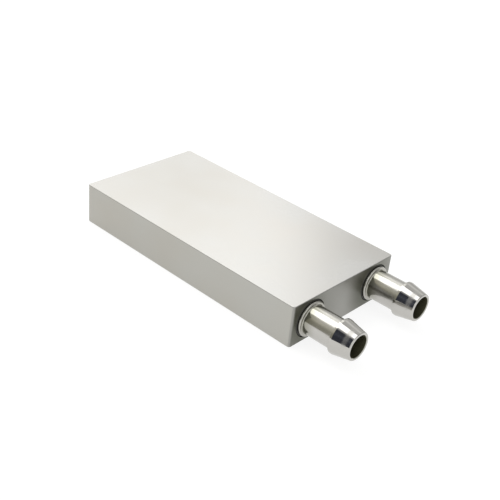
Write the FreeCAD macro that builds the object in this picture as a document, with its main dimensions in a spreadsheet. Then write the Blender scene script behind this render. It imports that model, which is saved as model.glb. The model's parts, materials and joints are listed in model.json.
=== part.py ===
import FreeCAD, Part
import math
import os
import Sketcher

# Liquid cooling cold plate, millimetres, +Z up.
#
# A milled aluminium body holds a U-shaped coolant channel with fins. A cover plate, brazed flush
# into a stepped recess, closes the channel from below. Two turned hose barbs screw into stepped
# ports in one end face, and each squeezes an O-ring in a gland round its port.
#
# Origin: centre of the underside. +X points out of the port end, Y runs across the width.

# name of each driving size, its value and what it measures
SIZES = [
    ("plate_length", 80, "body, end face to end face"),
    ("plate_width", 40, "body, side to side"),
    ("plate_height", 12, "body, underside to top face"),
    ("corner_radius", 0.8, "upright corners of the body"),
    ("edge_break", 0.2, "rounding along the top and bottom outlines"),
    ("side_wall", 3.5, "side face to channel"),
    ("rear_wall", 3.5, "closed end face to channel"),
    ("port_block", 12, "port face to channel"),
    ("roof", 2.5, "top face to channel"),
    ("cutter_radius", 3, "inside corners of the channel"),
    ("divider_width", 3, "wall between the two legs of the channel"),
    ("turn_length", 11, "open end of the channel, past the divider"),
    ("fin_width", 1, "thickness of one fin"),
    ("fin_count", 5, "fins in each leg"),
    ("plenum_length", 9, "open space between the port block and the fins"),
    ("cover_height", 2, "thickness of the cover plate"),
    ("cover_ledge", 1.5, "ledge round the channel that carries the cover"),
    ("braze_gap", 0.05, "cover plate to the wall of its recess"),
    ("seam_chamfer", 0.35, "groove along the brazed seam, on each side"),
    ("port_inset", 7, "port axis to the nearer side face"),
    ("shank_diameter", 8, "screwed end of the barb"),
    ("shank_length", 7, "port face to the shoulder that stops the shank"),
    ("thread_gap", 0.05, "shank to port wall"),
    ("relief_depth", 0.2, "undercut of the shank inside the seal"),
    ("gland_width", 1.55, "ring-shaped room of the seal, across"),
    ("gland_depth", 1, "ring-shaped room of the seal, deep"),
    ("seal_gap", 0.05, "seal to the gland's inner and outer wall"),
    ("feed_step", 0.35, "feed hole over the barb's bore, on the radius"),
    ("collar_reveal", 0.45, "ring of seal left showing round the collar"),
    ("collar_length", 0.8, "collar, along the barb"),
    ("collar_round", 0.35, "rounded front edge of the collar"),
    ("neck_diameter", 8.2, "plain neck that the hose grips"),
    ("neck_length", 8.75, "collar to the shoulder of the barb's ridge"),
    ("neck_fillet", 0.3, "hollow between collar and neck"),
    ("round_share", 0.45, "largest share of the collar's step that either rounding takes"),
    ("ridge_height", 0.75, "ridge over the neck, on the radius"),
    ("ridge_land", 0.65, "cylindrical top of the ridge, ahead of its shoulder"),
    ("ridge_round", 0.08, "broken edge of the ridge's shoulder"),
    ("nose_length", 5.05, "cone from the ridge to the tip"),
    ("nose_wall", 0.75, "wall at the tip"),
    ("nose_round", 0.3, "rounded outer edge of the tip"),
    ("bore_diameter", 6.2, "coolant bore through the barb"),
    ("bore_chamfer", 0.15, "bevel at both mouths of the bore"),
]

# sizes that follow from the driving ones, as expressions in the sheet's names
PORT_FACE = "Sizes.plate_length / 2"
SIDE = "Sizes.plate_width / 2"
PORT_Y = f"({SIDE} - Sizes.port_inset)"
CHANNEL_REAR = "(Sizes.rear_wall - Sizes.plate_length / 2)"
CHANNEL_FRONT = "(Sizes.plate_length / 2 - Sizes.port_block)"
CHANNEL_SIDE = f"({SIDE} - Sizes.side_wall)"
CHANNEL_TOP = "(Sizes.plate_height - Sizes.roof)"
DIVIDER_SIDE = "(Sizes.divider_width / 2)"
DIVIDER_END = f"({CHANNEL_REAR} + Sizes.turn_length)"
FIN_FRONT = f"({CHANNEL_FRONT} - Sizes.plenum_length)"
LEG_WIDTH = f"({CHANNEL_SIDE} - {DIVIDER_SIDE})"
FIN_PITCH = f"(({LEG_WIDTH} + Sizes.fin_width) / (Sizes.fin_count + 1))"
FIN_GAP = f"({FIN_PITCH} - Sizes.fin_width)"
SHANK_R = "Sizes.shank_diameter / 2"
RELIEF_R = f"({SHANK_R} - Sizes.relief_depth)"
GLAND_R = f"({RELIEF_R} + Sizes.gland_width)"
COLLAR_R = f"({GLAND_R} - Sizes.collar_reveal)"
NECK_R = "Sizes.neck_diameter / 2"
ROUND_LIMIT = f"Sizes.round_share * ({COLLAR_R} - {NECK_R})"
RIDGE_R = f"({NECK_R} + Sizes.ridge_height)"
BORE_R = "Sizes.bore_diameter / 2"
NOSE_R = f"({BORE_R} + Sizes.nose_wall)"
SHOULDER = "(Sizes.collar_length + Sizes.neck_length)"
RIDGE_END = f"({SHOULDER} + Sizes.ridge_land)"
TIP = f"({RIDGE_END} + Sizes.nose_length)"

SAME = 1e-4  # two places this near are the same


def make_sheet(doc):
    """Spreadsheet that holds every driving size under its own name."""
    sheet = doc.addObject("Spreadsheet::Sheet", "Sizes")
    for row, (name, size, meaning) in enumerate(SIZES, start=1):
        sheet.set(f"A{row}", name)
        sheet.set(f"B{row}", str(size))
        sheet.set(f"C{row}", meaning)
        sheet.setAlias(f"B{row}", name)
    doc.recompute()
    return sheet


def origin_feature(body, role):
    return next(item for item in body.Origin.OriginFeatures if item.Role == role)


def add_body(doc, name):
    body = doc.addObject("PartDesign::Body", name)
    body.Label = name
    return body


def add_sketch(body, name, height=None):
    """Sketch on the body's XY plane, or lifted above it by an expression."""
    sketch = body.newObject("Sketcher::SketchObject", name)
    sketch.AttachmentSupport = [(origin_feature(body, "XY_Plane"), "")]
    sketch.MapMode = "FlatFace"
    if height:
        sketch.setExpression(".AttachmentOffset.Base.z", height)
    return sketch


def constrain(sketch, expression, *constraint):
    """Add one dimension to a sketch and bind it to the sheet."""
    index = sketch.addConstraint(Sketcher.Constraint(*constraint, sketch.evalExpression(expression)))
    sketch.setExpression(f"Constraints[{index}]", expression)


def place_point(sketch, edge, end, x, y):
    """Bind one end of a sketch edge to a place given by two expressions."""
    origin = (-1, 1)
    constrain(sketch, x, "DistanceX", *origin, edge, end)
    constrain(sketch, y, "DistanceY", *origin, edge, end)


def add_outline(sketch, corners):
    """Closed outline of straight edges through corners given as pairs of expressions."""
    places = [FreeCAD.Vector(sketch.evalExpression(x), sketch.evalExpression(y), 0) for x, y in corners]
    first = sketch.GeometryCount
    last = first + len(places) - 1
    for start, end in zip(places, places[1:] + places[:1]):
        sketch.addGeometry(Part.LineSegment(start, end), False)
    for edge, (x, y) in enumerate(corners, start=first):
        before = last if edge == first else edge - 1
        sketch.addConstraint(Sketcher.Constraint("Coincident", before, 2, edge, 1))
        place_point(sketch, edge, 1, x, y)


def add_rectangle(sketch, low_x, low_y, high_x, high_y):
    add_outline(sketch, [(low_x, low_y), (high_x, low_y), (high_x, high_y), (low_x, high_y)])


def add_feature(body, kind, name, sketch, **settings):
    """Sketch-based feature; settings that are text become expressions."""
    feature = body.newObject(f"PartDesign::{kind}", name)
    feature.Profile = sketch
    sketch.Visibility = False
    for setting, wanted in settings.items():
        if isinstance(wanted, str):
            feature.setExpression(setting, wanted)
        else:
            setattr(feature, setting, wanted)
    body.Document.recompute()
    return feature


def dress(body, kind, name, base, size, wanted):
    """Fillet or chamfer on every edge of base that passes the test wanted."""
    edges = [f"Edge{n}" for n, edge in enumerate(base.Shape.Edges, start=1) if wanted(edge)]
    if not edges:
        raise RuntimeError(f"{name} finds no edge")
    feature = body.newObject(f"PartDesign::{kind}", name)
    feature.Base = (base, edges)
    feature.setExpression("Radius" if kind == "Fillet" else "Size", size)
    body.Document.recompute()
    if feature.Shape.isNull() or not feature.Shape.isValid():
        raise RuntimeError(f"{name} failed")
    return feature


def near(first, second):
    return abs(first - second) < SAME


def level(edge):
    """Height of a level edge, or None where the edge climbs."""
    box = edge.BoundBox
    return box.ZMin if near(box.ZMin, box.ZMax) else None


def on_level(height):
    def wanted(edge):
        found = level(edge)
        return found is not None and near(found, height)
    return wanted


def upright_at(sheet, x, y):
    """Test for upright edges at the four places +-y on the two ends x."""
    ends = [sheet.evalExpression(end) for end in x]
    side = sheet.evalExpression(y)

    def wanted(edge):
        middle = edge.BoundBox.Center
        return (level(edge) is None and any(near(middle.x, end) for end in ends)
                and near(abs(middle.y), side))
    return wanted


def ring_at(sheet, x, radius):
    """Test for circles round the X axis at one station, with one radius."""
    station = sheet.evalExpression(x)
    size = sheet.evalExpression(radius)

    def wanted(edge):
        return (isinstance(edge.Curve, Part.Circle) and near(edge.Curve.Center.x, station)
                and near(edge.Curve.Radius, size))
    return wanted


def cut_from_below(body, name, sketch, depth):
    """Pocket from the underside upwards; it has to take material away."""
    before = body.Shape.Volume
    pocket = add_feature(body, "Pocket", name, sketch, Reversed=True, Length=depth)
    if not pocket.Shape.Volume < before - SAME:
        raise RuntimeError(f"{name} cuts nothing")
    return pocket


def make_channel_body(doc, sheet):
    """Milled body: block, recess for the cover, channel with divider and fins, two ports."""
    body = add_body(doc, "channel_body")

    outline = add_sketch(body, "block_outline")
    add_rectangle(outline, f"-{PORT_FACE}", f"-{SIDE}", PORT_FACE, SIDE)
    block = add_feature(body, "Pad", "block", outline, Length="Sizes.plate_height")
    corners = dress(body, "Fillet", "upright_corners", block, "Sizes.corner_radius",
                    lambda edge: level(edge) is None)
    top = on_level(sheet.plate_height)
    bottom = on_level(0)
    dress(body, "Fillet", "broken_edges", corners, "Sizes.edge_break",
          lambda edge: top(edge) or bottom(edge))

    # stepped recess: the cover's seat first, then the channel inside it
    seat_ends = (f"{CHANNEL_REAR} - Sizes.cover_ledge", f"{CHANNEL_FRONT} + Sizes.cover_ledge")
    seat_side = f"({CHANNEL_SIDE} + Sizes.cover_ledge)"
    seat_sketch = add_sketch(body, "seat_outline")
    add_rectangle(seat_sketch, seat_ends[0], f"-{seat_side}", seat_ends[1], seat_side)
    seat = cut_from_below(body, "cover_seat", seat_sketch, "Sizes.cover_height")
    seat = dress(body, "Fillet", "seat_corners", seat, "Sizes.cutter_radius + Sizes.cover_ledge",
                 upright_at(sheet, seat_ends, seat_side))
    seat_reach = sheet.evalExpression(seat_side) + SAME
    dress(body, "Chamfer", "seam_edge", seat, "Sizes.seam_chamfer",
          lambda edge: bottom(edge) and max(-edge.BoundBox.YMin, edge.BoundBox.YMax) < seat_reach)

    channel_sketch = add_sketch(body, "channel_outline")
    add_rectangle(channel_sketch, CHANNEL_REAR, f"-{CHANNEL_SIDE}", CHANNEL_FRONT, CHANNEL_SIDE)
    channel = cut_from_below(body, "channel", channel_sketch, CHANNEL_TOP)
    dress(body, "Fillet", "channel_corners", channel, "Sizes.cutter_radius",
          upright_at(sheet, (CHANNEL_REAR, CHANNEL_FRONT), CHANNEL_SIDE))

    # what the cutter leaves standing: the divider and the rows of fins
    standing = f"{CHANNEL_TOP} - Sizes.cover_height"
    divider_sketch = add_sketch(body, "divider_outline", "Sizes.cover_height")
    add_rectangle(divider_sketch, DIVIDER_END, f"-{DIVIDER_SIDE}", CHANNEL_FRONT, DIVIDER_SIDE)
    add_feature(body, "Pad", "divider", divider_sketch, Length=standing)

    fin_sketch = add_sketch(body, "fin_outline", "Sizes.cover_height")
    for leg_start in (f"-{CHANNEL_SIDE}", DIVIDER_SIDE):
        fin_start = f"{leg_start} + {FIN_GAP}"
        add_rectangle(fin_sketch, DIVIDER_END, fin_start, FIN_FRONT, f"{fin_start} + Sizes.fin_width")
    fin_pair = add_feature(body, "Pad", "fin_pair", fin_sketch, Length=standing)
    fins = body.newObject("PartDesign::LinearPattern", "fins")
    fins.Originals = [fin_pair]
    fins.Direction = (fin_sketch, ["V_Axis"])
    fins.setExpression("Length", f"{FIN_PITCH} * (Sizes.fin_count - 1)")
    fins.setExpression("Occurrences", "Sizes.fin_count")
    body.Tip = fins
    doc.recompute()

    # stepped port, turned about its own axis: gland, tapped bore, shoulder, feed hole
    port_r = f"({SHANK_R} + Sizes.thread_gap)"
    feed_r = f"({BORE_R} + Sizes.feed_step)"
    feed_end = f"{CHANNEL_FRONT} - Sizes.cutter_radius"
    steps = [(PORT_FACE, GLAND_R), (f"{PORT_FACE} - Sizes.gland_depth", GLAND_R),
             (f"{PORT_FACE} - Sizes.gland_depth", port_r), (f"{PORT_FACE} - Sizes.shank_length", port_r),
             (f"{PORT_FACE} - Sizes.shank_length", feed_r), (feed_end, feed_r)]
    port_sketch = add_sketch(body, "port_profile", "Sizes.plate_height / 2")
    add_outline(port_sketch, [(PORT_FACE, PORT_Y)] + [(x, f"{PORT_Y} + {radius}") for x, radius in steps]
                + [(feed_end, PORT_Y)])
    axis_ends = [FreeCAD.Vector(port_sketch.evalExpression(x), port_sketch.evalExpression(PORT_Y), 0)
                 for x in (feed_end, PORT_FACE)]
    axis = port_sketch.addGeometry(Part.LineSegment(*axis_ends), True)
    place_point(port_sketch, axis, 1, feed_end, PORT_Y)
    place_point(port_sketch, axis, 2, PORT_FACE, PORT_Y)
    port = add_feature(body, "Groove", "port", port_sketch,
                       ReferenceAxis=(port_sketch, ["Axis0"]), Angle=360)
    ports = body.newObject("PartDesign::Mirrored", "ports")
    ports.Originals = [port]
    ports.MirrorPlane = (origin_feature(body, "XZ_Plane"), [""])
    body.Tip = ports
    doc.recompute()
    return body


def make_cover_plate(doc, sheet):
    """Plain cover, flush with the underside, with a bevelled lower edge along the seam."""
    body = add_body(doc, "cover_plate")
    reach = "(Sizes.cover_ledge - Sizes.braze_gap)"
    ends = (f"{CHANNEL_REAR} - {reach}", f"{CHANNEL_FRONT} + {reach}")
    side = f"({CHANNEL_SIDE} + {reach})"
    outline = add_sketch(body, "cover_outline")
    add_rectangle(outline, ends[0], f"-{side}", ends[1], side)
    plate = add_feature(body, "Pad", "cover", outline, Length="Sizes.cover_height")
    plate = dress(body, "Fillet", "cover_corners", plate, f"Sizes.cutter_radius + {reach}",
                  lambda edge: level(edge) is None)
    dress(body, "Chamfer", "cover_seam_edge", plate, "Sizes.seam_chamfer", on_level(0))
    return body


def make_barb(doc, sheet, name, side):
    """Turned hose barb; its own origin lies on its axis, in the plane of the port face."""
    body = add_body(doc, name)
    profile = add_sketch(body, f"{name}_profile")
    add_outline(profile, [
        ("-Sizes.shank_length", BORE_R),
        ("-Sizes.shank_length", SHANK_R),
        ("-Sizes.gland_depth", SHANK_R),
        ("-Sizes.gland_depth", RELIEF_R),
        ("0", RELIEF_R),
        ("0", COLLAR_R),
        ("Sizes.collar_length", COLLAR_R),
        ("Sizes.collar_length", NECK_R),
        (SHOULDER, NECK_R),
        (SHOULDER, RIDGE_R),
        (RIDGE_END, RIDGE_R),
        (TIP, NOSE_R),
        (TIP, BORE_R),
    ])
    turned = add_feature(body, "Revolution", f"{name}_turned", profile,
                         ReferenceAxis=(profile, ["H_Axis"]), Angle=360)
    rounded = dress(body, "Fillet", f"{name}_collar_round", turned,
                    f"min(Sizes.collar_round; {ROUND_LIMIT})",
                    ring_at(sheet, "Sizes.collar_length", COLLAR_R))
    rounded = dress(body, "Fillet", f"{name}_neck_fillet", rounded,
                    f"min(Sizes.neck_fillet; {ROUND_LIMIT})",
                    ring_at(sheet, "Sizes.collar_length", NECK_R))
    rounded = dress(body, "Fillet", f"{name}_ridge_round", rounded, "Sizes.ridge_round",
                    ring_at(sheet, SHOULDER, RIDGE_R))
    rounded = dress(body, "Fillet", f"{name}_nose_round", rounded, "Sizes.nose_round",
                    ring_at(sheet, TIP, NOSE_R))
    mouths = [ring_at(sheet, TIP, BORE_R), ring_at(sheet, "-Sizes.shank_length", BORE_R)]
    dress(body, "Chamfer", f"{name}_bore_mouths", rounded, "Sizes.bore_chamfer",
          lambda edge: any(mouth(edge) for mouth in mouths))
    place_at_port(body, side)
    return body


def make_seal(doc, sheet, name, side):
    """O-ring squeezed in its gland: flat on the gland's floor and under the collar, round elsewhere."""
    body = add_body(doc, name)
    half = "(Sizes.gland_depth / 2)"
    inner = f"{RELIEF_R} + Sizes.seal_gap + {half}"
    outer = f"{GLAND_R} - Sizes.seal_gap - {half}"
    profile = add_sketch(body, f"{name}_profile")
    radius, low, high = (profile.evalExpression(item) for item in (half, inner, outer))

    def straight(x, start, end):
        line = Part.LineSegment(FreeCAD.Vector(x, start, 0), FreeCAD.Vector(x, end, 0))
        return profile.addGeometry(line, False)

    def half_round(height, start, end):
        circle = Part.Circle(FreeCAD.Vector(-radius, height, 0), FreeCAD.Vector(0, 0, 1), radius)
        return profile.addGeometry(Part.ArcOfCircle(circle, start, end), False)

    floor = straight(-2 * radius, high, low)
    lower = half_round(low, math.pi, 2 * math.pi)
    front = straight(0, low, high)
    upper = half_round(high, 0, math.pi)
    for first, first_end, second, second_end in (
            (floor, 2, lower, 1), (lower, 2, front, 1), (front, 2, upper, 1), (upper, 2, floor, 1)):
        profile.addConstraint(Sketcher.Constraint("Tangent", first, first_end, second, second_end))
    profile.addConstraint(Sketcher.Constraint("Vertical", front))
    profile.addConstraint(Sketcher.Constraint("Vertical", floor))
    place_point(profile, front, 1, "0", inner)
    constrain(profile, outer, "DistanceY", -1, 1, front, 2)
    constrain(profile, f"-2 * {half}", "DistanceX", -1, 1, floor, 1)
    add_feature(body, "Revolution", f"{name}_ring", profile,
                ReferenceAxis=(profile, ["H_Axis"]), Angle=360)
    place_at_port(body, side)
    return body


def place_at_port(body, side):
    """Seat a turned piece on the axis of the port on one side, +1 or -1, of the middle."""
    body.setExpression(".Placement.Base.x", PORT_FACE)
    body.setExpression(".Placement.Base.y", f"{side} * {PORT_Y}")
    body.setExpression(".Placement.Base.z", "Sizes.plate_height / 2")


def check(doc, nodes):
    """Stop on any feature that failed and any piece that isn't one sound solid."""
    for item in doc.Objects:
        if {"Invalid", "Error"} & set(item.State):
            raise RuntimeError(f"{item.Name} failed: {item.State}")
    for node in nodes:
        shape = node.Shape
        if shape.isNull() or not shape.isValid() or len(shape.Solids) != 1:
            raise RuntimeError(f"{node.Label} isn't one valid solid")


def main():
    doc = FreeCAD.newDocument("cold_plate")
    sheet = make_sheet(doc)
    nodes = [make_channel_body(doc, sheet), make_cover_plate(doc, sheet)]
    for flow, side in (("inlet", -1), ("outlet", 1)):
        nodes.append(make_barb(doc, sheet, f"{flow}_barb", side))
        nodes.append(make_seal(doc, sheet, f"{flow}_seal", side))
    doc.recompute()
    check(doc, nodes)
    os.makedirs("parts", exist_ok=True)
    for node in nodes:
        node.Shape.exportStep(f"parts/{node.Label}.step")
        print(f"{node.Label}: {node.Shape.Volume:.1f} mm3, box {node.Shape.BoundBox}")


main()
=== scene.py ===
import json
import math

import bpy
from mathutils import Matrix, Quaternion, Vector


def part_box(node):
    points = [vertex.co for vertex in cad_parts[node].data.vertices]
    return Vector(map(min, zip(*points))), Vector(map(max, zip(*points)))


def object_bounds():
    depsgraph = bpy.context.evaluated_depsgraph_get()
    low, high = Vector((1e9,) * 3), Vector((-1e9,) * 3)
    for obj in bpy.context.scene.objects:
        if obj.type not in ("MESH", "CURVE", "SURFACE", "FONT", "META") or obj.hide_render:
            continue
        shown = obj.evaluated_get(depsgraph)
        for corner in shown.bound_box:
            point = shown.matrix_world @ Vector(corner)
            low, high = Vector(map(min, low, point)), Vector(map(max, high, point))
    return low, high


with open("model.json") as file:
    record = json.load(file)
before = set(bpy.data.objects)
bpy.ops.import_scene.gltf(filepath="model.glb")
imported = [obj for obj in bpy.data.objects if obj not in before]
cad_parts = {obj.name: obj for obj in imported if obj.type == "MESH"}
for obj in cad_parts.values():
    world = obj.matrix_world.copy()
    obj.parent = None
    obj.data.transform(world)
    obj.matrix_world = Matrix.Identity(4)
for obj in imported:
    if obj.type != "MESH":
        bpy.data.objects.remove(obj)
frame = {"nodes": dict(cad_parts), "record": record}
cad_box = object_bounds()

MM = 0.001

# places on the object, read from the frame; the two barbs are alike, one on each side of the middle
passage = next(mount for mount in frame["record"]["mounts"] if mount["name"] == "outlet_passage")
PORT_Y, PORT_Z = passage["pos_m"][1:]      # axis of the outlet's port; the inlet's is at minus PORT_Y
BORE_R = passage["dims"]["r_mm"] * MM
PORT_FACE_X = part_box("channel_body")[1].x
FOOT_X = PORT_FACE_X + 0.8 * MM            # front of each barb's collar, where its neck starts
SHOULDER_X = PORT_FACE_X + 9.55 * MM       # square shoulder behind each barb's ridge
BAND_X = PORT_FACE_X + 12.6 * MM           # where the duller band starts on each barb's nose

# camera: direction and roll in degrees, distance and target in metres, lens and sensor in millimetres
AZIMUTH, ELEVATION, ROLL = 40.74, 30.73, 6.10
DISTANCE = 0.2621
TARGET = Vector((0.00144, 0.00628, 0.0))
LENS = 65.35
SENSOR = 36.0
CLIP_START = 0.01


# ---------------------------------------------------------------- node helpers

class Graph:
    """Short way to build a node tree."""

    def __init__(self, tree):
        self.tree = tree
        tree.nodes.clear()

    def add(self, kind, **settings):
        node = self.tree.nodes.new(kind)
        for name, wanted in settings.items():
            setattr(node, name, wanted)
        return node

    def link(self, source, target):
        self.tree.links.new(source, target)

    def feed(self, socket, wanted):
        if isinstance(wanted, bpy.types.NodeSocket):
            self.link(wanted, socket)
        else:
            socket.default_value = wanted

    def math(self, operation, first, second=0.0):
        node = self.add("ShaderNodeMath", operation=operation)
        self.feed(node.inputs[0], first)
        self.feed(node.inputs[1], second)
        return node.outputs[0]

    def split(self, vector):
        node = self.add("ShaderNodeSeparateXYZ")
        self.link(vector, node.inputs[0])
        return tuple(node.outputs)

    def remap(self, value, low, high, to_low, to_high, smooth=False):
        node = self.add("ShaderNodeMapRange", interpolation_type="SMOOTHSTEP" if smooth else "LINEAR")
        for socket, wanted in zip(node.inputs, (value, low, high, to_low, to_high)):
            self.feed(socket, wanted)
        return node.outputs[0]

    def mix(self, factor, first, second):
        node = self.add("ShaderNodeMix", data_type="RGBA")
        self.feed(node.inputs[0], factor)
        self.feed(node.inputs[6], first)
        self.feed(node.inputs[7], second)
        return node.outputs[2]

    def ramp(self, value, stops):
        node = self.add("ShaderNodeValToRGB")
        ramp = node.color_ramp
        ramp.interpolation = "EASE"
        for _ in stops[2:]:
            ramp.elements.new(0.5)
        for element, (place, color) in zip(ramp.elements, stops):
            element.position = place
            element.color = color
        self.feed(node.inputs[0], value)
        return node.outputs[0]

    def noise(self, vector, scale, detail=3.0, roughness=0.5):
        node = self.add("ShaderNodeTexNoise")
        self.link(vector, node.inputs["Vector"])
        node.inputs["Scale"].default_value = scale
        node.inputs["Detail"].default_value = detail
        node.inputs["Roughness"].default_value = roughness
        return node.outputs["Fac"]

    def spread(self, noise, to_low, to_high):
        """Stretches a noise, most of which lies between 0.3 and 0.7, over the range wanted."""
        return self.remap(noise, 0.3, 0.7, to_low, to_high)

    def bump(self, shader, height, strength, distance):
        node = self.add("ShaderNodeBump")
        node.inputs["Strength"].default_value = strength
        node.inputs["Distance"].default_value = distance
        self.link(height, node.inputs["Height"])
        self.link(node.outputs[0], shader.inputs["Normal"])


def rgba(tone, share=(1.0, 1.0, 1.0)):
    """Opaque colour: a linear RGB tone, each channel times its share."""
    return (*(part * channel for part, channel in zip(share, tone)), 1.0)


def new_material(name):
    material = bpy.data.materials.new(name)
    material.use_nodes = True
    return material, Graph(material.node_tree)


def finish_material(graph, shader):
    output = graph.add("ShaderNodeOutputMaterial")
    graph.link(shader.outputs[0], output.inputs["Surface"])


def object_coordinates(graph):
    return graph.add("ShaderNodeTexCoord").outputs["Object"]


# ---------------------------------------------------------------- materials

# tones are linear RGB, noise scales are in cells a metre, and a bump is its strength and its depth
# the sides' tones, darker than the faces', are painted shade on the upright sides
PLATE_FACE, PLATE_SIDE_SHADED, PLATE_ROUGHNESS = (0.56, 0.555, 0.546), (0.445, 0.44, 0.408), 0.25
COVER_FACE, COVER_SIDE_SHADED, COVER_ROUGHNESS = (0.54, 0.535, 0.52), (0.46, 0.455, 0.435), 0.30
SIDE_DULLER = 0.08                         # roughness that the sides have over the faces
CLOUD_SHADE = (0.96, 0.938, 0.912)         # a cloud's darkest part, as a share of the tone round it
CLOUD_SCALE, GRAIN_SCALE = 45.0, 9000.0
CLOUD_GLOSS, GRAIN_GLOSS = 0.03, 0.015     # how far clouds and grain move the roughness either way
GRAIN_BUMP = 0.06, 0.02 * MM
PORT_FACE_PAINTED_SHADE = (0.70, 0.70, 0.70)       # painted shade on the port face, as a share of the sides' tone
# tone and share of the painted shade that darkens the broken edges
EDGE_SHADE_TONE, EDGE_SHADE_SHARE = (0.22, 0.22, 0.21), 0.5

# parts of the surface's normal between which one surface gives way to another
SIDE_TO_FACE = 0.3, 0.95                   # its upright part
SIDE_TO_PORT_FACE = 0.7, 0.95              # its part along +X
EDGE_TO_FLAT = 0.90, 0.99                  # its largest part

# olive painted shade round each port on the port face
PORT_SHADE_TONE = (0.118, 0.120, 0.096)
PORT_SHADE_FADE = 5.0 * MM, PORT_Y               # distances from a port's axis between which the painted shade fades
PORT_SHADE_SLOPE = -3.0 * MM, 6.0 * MM           # and the stretch across a port in which it drops towards +Y
PORT_SHADE_LEFT = 0.35                           # share of it that is left there


def port_distances(g, place):
    """Distance across the width from the nearer port's axis, and distance from that axis all round."""
    _, y, z = g.split(place)
    axis = g.remap(g.math("GREATER_THAN", y, 0.0), 0.0, 1.0, -PORT_Y, PORT_Y)
    across = g.math("SUBTRACT", y, axis)
    above = g.math("SUBTRACT", z, PORT_Z)
    radius = g.math("SQRT", g.math("ADD", g.math("MULTIPLY", across, across),
                                   g.math("MULTIPLY", above, above)))
    return across, radius


def port_shade(g, place):
    """How strong the olive painted shade is: full next to a port, fading all round and weaker towards +Y."""
    across, radius = port_distances(g, place)
    near = g.remap(radius, *PORT_SHADE_FADE, 1.0, 0.0, smooth=True)
    return g.math("MULTIPLY", near, g.remap(across, *PORT_SHADE_SLOPE, 1.0, PORT_SHADE_LEFT))


def satin_aluminium(name, face_tone, shaded_side_tone, roughness):
    """Clear satin aluminium: blasted faces, duller sides and broken edges with painted shade, painted shade
    on the port face and an olive painted shade round the ports.
    """
    material, g = new_material(name)
    coordinates = g.add("ShaderNodeTexCoord")
    place = coordinates.outputs["Object"]
    normal = g.split(coordinates.outputs["Normal"])
    level, across, upright = [g.math("ABSOLUTE", part) for part in normal]
    on_face = g.remap(upright, *SIDE_TO_FACE, 0.0, 1.0)
    on_port_face = g.remap(normal[0], *SIDE_TO_PORT_FACE, 0.0, 1.0)
    squareness = g.math("MAXIMUM", level, g.math("MAXIMUM", across, upright))
    on_edge = g.remap(squareness, *EDGE_TO_FLAT, 1.0, 0.0)

    clouds = g.spread(g.noise(place, CLOUD_SCALE, detail=2.0), 0.0, 1.0)
    grain = g.noise(place, GRAIN_SCALE, detail=2.0, roughness=0.6)
    # the sides take their darker tone of painted shade
    side, face = [g.mix(clouds, rgba(tone, CLOUD_SHADE), rgba(tone)) for tone in (shaded_side_tone, face_tone)]
    # painted shade: the port face darker than the sides, olive round the ports
    port_face_shaded = g.mix(port_shade(g, place), rgba(shaded_side_tone, PORT_FACE_PAINTED_SHADE), rgba(PORT_SHADE_TONE))
    shaded = g.mix(on_port_face, g.mix(on_face, side, face), port_face_shaded)
    # painted shade on the broken edges
    edges_shaded = g.mix(g.math("MULTIPLY", on_edge, EDGE_SHADE_SHARE), shaded, rgba(EDGE_SHADE_TONE))

    shader = g.add("ShaderNodeBsdfPrincipled")
    g.link(edges_shaded, shader.inputs["Base Color"])
    shader.inputs["Metallic"].default_value = 1.0
    unevenness = g.math("ADD", g.remap(clouds, 0.0, 1.0, -CLOUD_GLOSS, CLOUD_GLOSS),
                        g.spread(grain, -GRAIN_GLOSS, GRAIN_GLOSS))
    dullness = g.remap(on_face, 0.0, 1.0, roughness + SIDE_DULLER, roughness)
    g.link(g.math("ADD", unevenness, dullness), shader.inputs["Roughness"])
    g.bump(shader, grain, *GRAIN_BUMP)
    finish_material(g, shader)
    return material


NICKEL_DARK, NICKEL_LIGHT = (0.48, 0.468, 0.44), (0.52, 0.51, 0.485)
NICKEL_SCALE, TURNING_SCALE = 220.0, 9000.0
TURNING_BUMP = 0.05, 0.01 * MM
POLISHED = 0.06, 0.10                      # roughness between and on the turning lines
NECK_DULLER = 0.05, 0.17                   # roughness added on the neck, at its foot and at its ridge
BAND_DULLER = 0.14                         # and on the nose's band
# the bore's dark tone is painted shade inside it
BORE_SHADE_TONE, BORE_ROUGHNESS = (0.16, 0.155, 0.10), 0.55
FOOT_SHADE_TONE, COLLAR_SHADED = (0.31, 0.305, 0.255), 0.3      # painted shade at the barb's foot; the collar has a share of it

# stations along X between which each look comes or goes
NECK_DULLING = FOOT_X + 1.0 * MM, SHOULDER_X
NECK_ENDS = SHOULDER_X - 0.3 * MM, SHOULDER_X
BAND_STARTS = BAND_X, BAND_X + 0.4 * MM
BAND_ENDS = BAND_X + 1.2 * MM, BAND_X + 1.9 * MM
COLLAR_TO_NECK = FOOT_X - 0.1 * MM, FOOT_X + 0.3 * MM
FOOT_SHADE_FADE = FOOT_X, FOOT_X + 4.5 * MM
BORE_TO_LIP = BORE_R + 0.02 * MM, BORE_R + 0.1 * MM       # distances from the axis


def nickel_dullness(g, x):
    """Roughness that a barb has over its polished nose: a satin neck and a band turned on the nose."""
    on_neck = g.math("MULTIPLY", g.remap(x, *NECK_DULLING, *NECK_DULLER), g.remap(x, *NECK_ENDS, 1.0, 0.0))
    on_band = g.math("MULTIPLY", g.remap(x, *BAND_STARTS, 0.0, 1.0), g.remap(x, *BAND_ENDS, 1.0, 0.0))
    return g.math("ADD", on_neck, g.math("MULTIPLY", on_band, BAND_DULLER))


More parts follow.
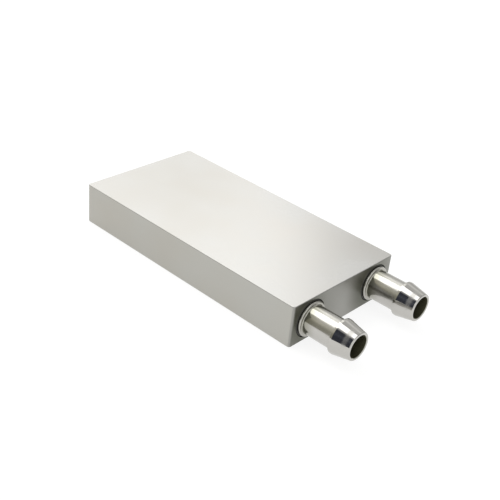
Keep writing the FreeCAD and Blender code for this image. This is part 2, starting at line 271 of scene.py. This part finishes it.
def bright_nickel(name):
    """Bright nickel over turned brass: polished nose, satin neck, painted shade at the foot, dull bore
    darkened with painted shade, turning lines.
    """
    material, g = new_material(name)
    place = object_coordinates(g)
    x, _, _ = g.split(place)
    along = g.add("ShaderNodeCombineXYZ")
    g.link(x, along.inputs["X"])
    lines = g.noise(along.outputs[0], TURNING_SCALE)
    _, radius = port_distances(g, place)
    in_bore = g.remap(radius, *BORE_TO_LIP, 1.0, 0.0)
    foot_shade = g.math("MULTIPLY", g.remap(x, *COLLAR_TO_NECK, COLLAR_SHADED, 1.0),
                     g.remap(x, *FOOT_SHADE_FADE, 1.0, 0.0, smooth=True))

    shader = g.add("ShaderNodeBsdfPrincipled")
    plating = g.mix(g.noise(place, NICKEL_SCALE, detail=2.0), rgba(NICKEL_DARK), rgba(NICKEL_LIGHT))
    # painted shade darkens the neck next to its foot
    outside = g.mix(foot_shade, plating, rgba(FOOT_SHADE_TONE))
    # the bore gets its dark tone of painted shade
    g.link(g.mix(in_bore, outside, rgba(BORE_SHADE_TONE)), shader.inputs["Base Color"])
    shader.inputs["Metallic"].default_value = 1.0
    gloss = g.math("ADD", g.spread(lines, *POLISHED), nickel_dullness(g, x))
    g.link(g.math("MAXIMUM", gloss, g.math("MULTIPLY", in_bore, BORE_ROUGHNESS)), shader.inputs["Roughness"])
    g.bump(shader, lines, *TURNING_BUMP)
    finish_material(g, shader)
    return material


RUBBER_DARK, RUBBER_LIGHT = (0.012, 0.012, 0.009), (0.028, 0.027, 0.020)
RUBBER_ROUGHNESS = 0.45, 0.6
RUBBER_SCALE, RUBBER_BUMP = 4000.0, (0.2, 0.02 * MM)


def black_rubber(name):
    material, g = new_material(name)
    grain = g.noise(object_coordinates(g), RUBBER_SCALE)
    shader = g.add("ShaderNodeBsdfPrincipled")
    g.link(g.mix(grain, rgba(RUBBER_DARK), rgba(RUBBER_LIGHT)), shader.inputs["Base Color"])
    g.link(g.spread(grain, *RUBBER_ROUGHNESS), shader.inputs["Roughness"])
    g.bump(shader, grain, *RUBBER_BUMP)
    finish_material(g, shader)
    return material


FLOOR_DARK, FLOOR_LIGHT = (0.24, 0.24, 0.24), (0.26, 0.26, 0.26)
FLOOR_SCALE, FLOOR_ROUGHNESS, FLOOR_GLOW = 3.0, 0.9, 0.83


def pale_floor(name):
    material, g = new_material(name)
    tone = g.noise(object_coordinates(g), FLOOR_SCALE, detail=2.0)
    shader = g.add("ShaderNodeBsdfPrincipled")
    g.link(g.mix(tone, rgba(FLOOR_DARK), rgba(FLOOR_LIGHT)), shader.inputs["Base Color"])
    shader.inputs["Roughness"].default_value = FLOOR_ROUGHNESS
    shader.inputs["Specular IOR Level"].default_value = 0.0
    shader.inputs["Emission Color"].default_value = (1.0, 1.0, 1.0, 1.0)
    shader.inputs["Emission Strength"].default_value = FLOOR_GLOW
    finish_material(g, shader)
    return material


def dress_node(node, material):
    mesh = frame["nodes"][node].data
    mesh.materials.clear()
    mesh.materials.append(material)


def dress_object():
    dress_node("channel_body", satin_aluminium("plate_aluminium", PLATE_FACE, PLATE_SIDE_SHADED, PLATE_ROUGHNESS))
    dress_node("cover_plate", satin_aluminium("cover_aluminium", COVER_FACE, COVER_SIDE_SHADED, COVER_ROUGHNESS))
    nickel = bright_nickel("barb_nickel")
    rubber = black_rubber("seal_rubber")
    for flow in ("inlet", "outlet"):
        dress_node(f"{flow}_barb", nickel)
        dress_node(f"{flow}_seal", rubber)


# ---------------------------------------------------------------- studio

# tone of the room's walls by compass direction, as a share of a turn from -X through -Y, +X and +Y
ROOM = [
    (0.00, (1.30, 1.30, 1.28)),
    (0.06, (1.30, 1.30, 1.27)),
    (0.092, (1.10, 1.09, 1.02)),
    (0.125, (0.80, 0.78, 0.70)),
    (0.144, (0.60, 0.58, 0.50)),
    (0.167, (0.46, 0.45, 0.37)),
    (0.19, (0.33, 0.32, 0.26)),
    (0.215, (0.06, 0.066, 0.085)),
    (0.247, (0.06, 0.066, 0.085)),
    (0.275, (1.10, 1.10, 1.10)),
    (0.50, (1.10, 1.10, 1.10)),
    (0.60, (0.60, 0.60, 0.60)),
    (0.70, (0.68, 0.68, 0.68)),
    (0.76, (0.84, 0.84, 0.83)),
    (0.844, (0.88, 0.88, 0.86)),
    (0.855, (1.78, 1.77, 1.73)),
    (0.875, (1.52, 1.52, 1.47)),
    (0.93, (1.80, 1.80, 1.77)),
    (1.00, (1.30, 1.30, 1.28)),
]
ROOM_SHARE = (0.4, 0.4, 0.4)               # brings the table's tones down to those of the walls
CEILING = (0.30, 0.30, 0.30)

# changes with elevation: from and to, in degrees above the horizon, and the values there
CEILING_STARTS = 60, 72, 0.0, 1.0
LIGHT_RISES = 24, 36, 2.0, 3.0
LIGHT_FALLS = 38, 52, 1.0, 0.72

SOFTBOX_Y, SOFTBOX_HEIGHT = -0.01, 0.62
SOFTBOXES = {
    "rear_softbox": {"x": -0.34, "width": 0.28, "depth": 0.44, "power": 0.74},
    "top_softbox": {"x": 0.0, "width": 0.09, "depth": 0.36, "power": 0.185},
}

FLOOR_REACH = 4.0                          # half of the floor's side
FLOOR_GAP = 0.02 * MM                      # keeps the floor clear of the object's underside


def by_elevation(g, upward, low, high, to_low, to_high, smooth=False):
    low, high = [math.sin(math.radians(elevation)) for elevation in (low, high)]
    return g.remap(upward, low, high, to_low, to_high, smooth)


def make_room():
    world = bpy.data.worlds.new("studio")
    world.use_nodes = True
    bpy.context.scene.world = world
    g = Graph(world.node_tree)
    x, y, upward = g.split(g.add("ShaderNodeTexCoord").outputs["Generated"])
    turn = g.remap(g.math("ARCTAN2", y, x), -math.pi, math.pi, 0.0, 1.0)
    walls = g.ramp(turn, [(place, rgba(tone, ROOM_SHARE)) for place, tone in ROOM])
    overhead = by_elevation(g, upward, *CEILING_STARTS, smooth=True)
    rise = by_elevation(g, upward, *LIGHT_RISES)
    fall = by_elevation(g, upward, *LIGHT_FALLS, smooth=True)
    shine = g.add("ShaderNodeBackground")
    g.link(g.mix(overhead, walls, rgba(CEILING)), shine.inputs["Color"])
    g.link(g.math("MULTIPLY", rise, fall), shine.inputs["Strength"])
    output = g.add("ShaderNodeOutputWorld")
    g.link(shine.outputs[0], output.inputs["Surface"])


def add_softbox(name, x, width, depth, power):
    """Rectangular light that hangs level over the object and shines straight down."""
    light = bpy.data.lights.new(name, "AREA")
    light.shape = "RECTANGLE"
    light.size, light.size_y = width, depth
    light.energy = power
    box = bpy.data.objects.new(name, light)
    box.location = (x, SOFTBOX_Y, SOFTBOX_HEIGHT)
    bpy.context.scene.collection.objects.link(box)


def make_floor():
    mesh = bpy.data.meshes.new("floor")
    corners = ((-1, -1), (1, -1), (1, 1), (-1, 1))
    mesh.from_pydata([(x * FLOOR_REACH, y * FLOOR_REACH, 0) for x, y in corners], [], [(0, 1, 2, 3)])
    mesh.materials.append(pale_floor("pale_floor"))
    floor = bpy.data.objects.new("floor", mesh)
    floor.location.z = cad_box[0][2] - FLOOR_GAP
    bpy.context.scene.collection.objects.link(floor)


def make_camera():
    azimuth, elevation = math.radians(AZIMUTH), math.radians(ELEVATION)
    back = Vector((math.sin(azimuth) * math.cos(elevation), -math.cos(azimuth) * math.cos(elevation),
                   math.sin(elevation)))
    data = bpy.data.cameras.new("camera")
    data.lens, data.sensor_width = LENS, SENSOR
    data.clip_start = CLIP_START
    camera = bpy.data.objects.new("camera", data)
    camera.location = TARGET + DISTANCE * back
    camera.rotation_mode = "QUATERNION"
    roll = Quaternion((0.0, 0.0, 1.0), math.radians(ROLL))
    camera.rotation_quaternion = (-back).to_track_quat("-Z", "Y") @ roll
    bpy.context.scene.collection.objects.link(camera)
    bpy.context.scene.camera = camera


def main():
    bpy.context.scene.view_settings.view_transform = "Standard"
    make_camera()
    make_floor()
    make_room()
    for name, settings in SOFTBOXES.items():
        add_softbox(name, **settings)
    dress_object()


main()
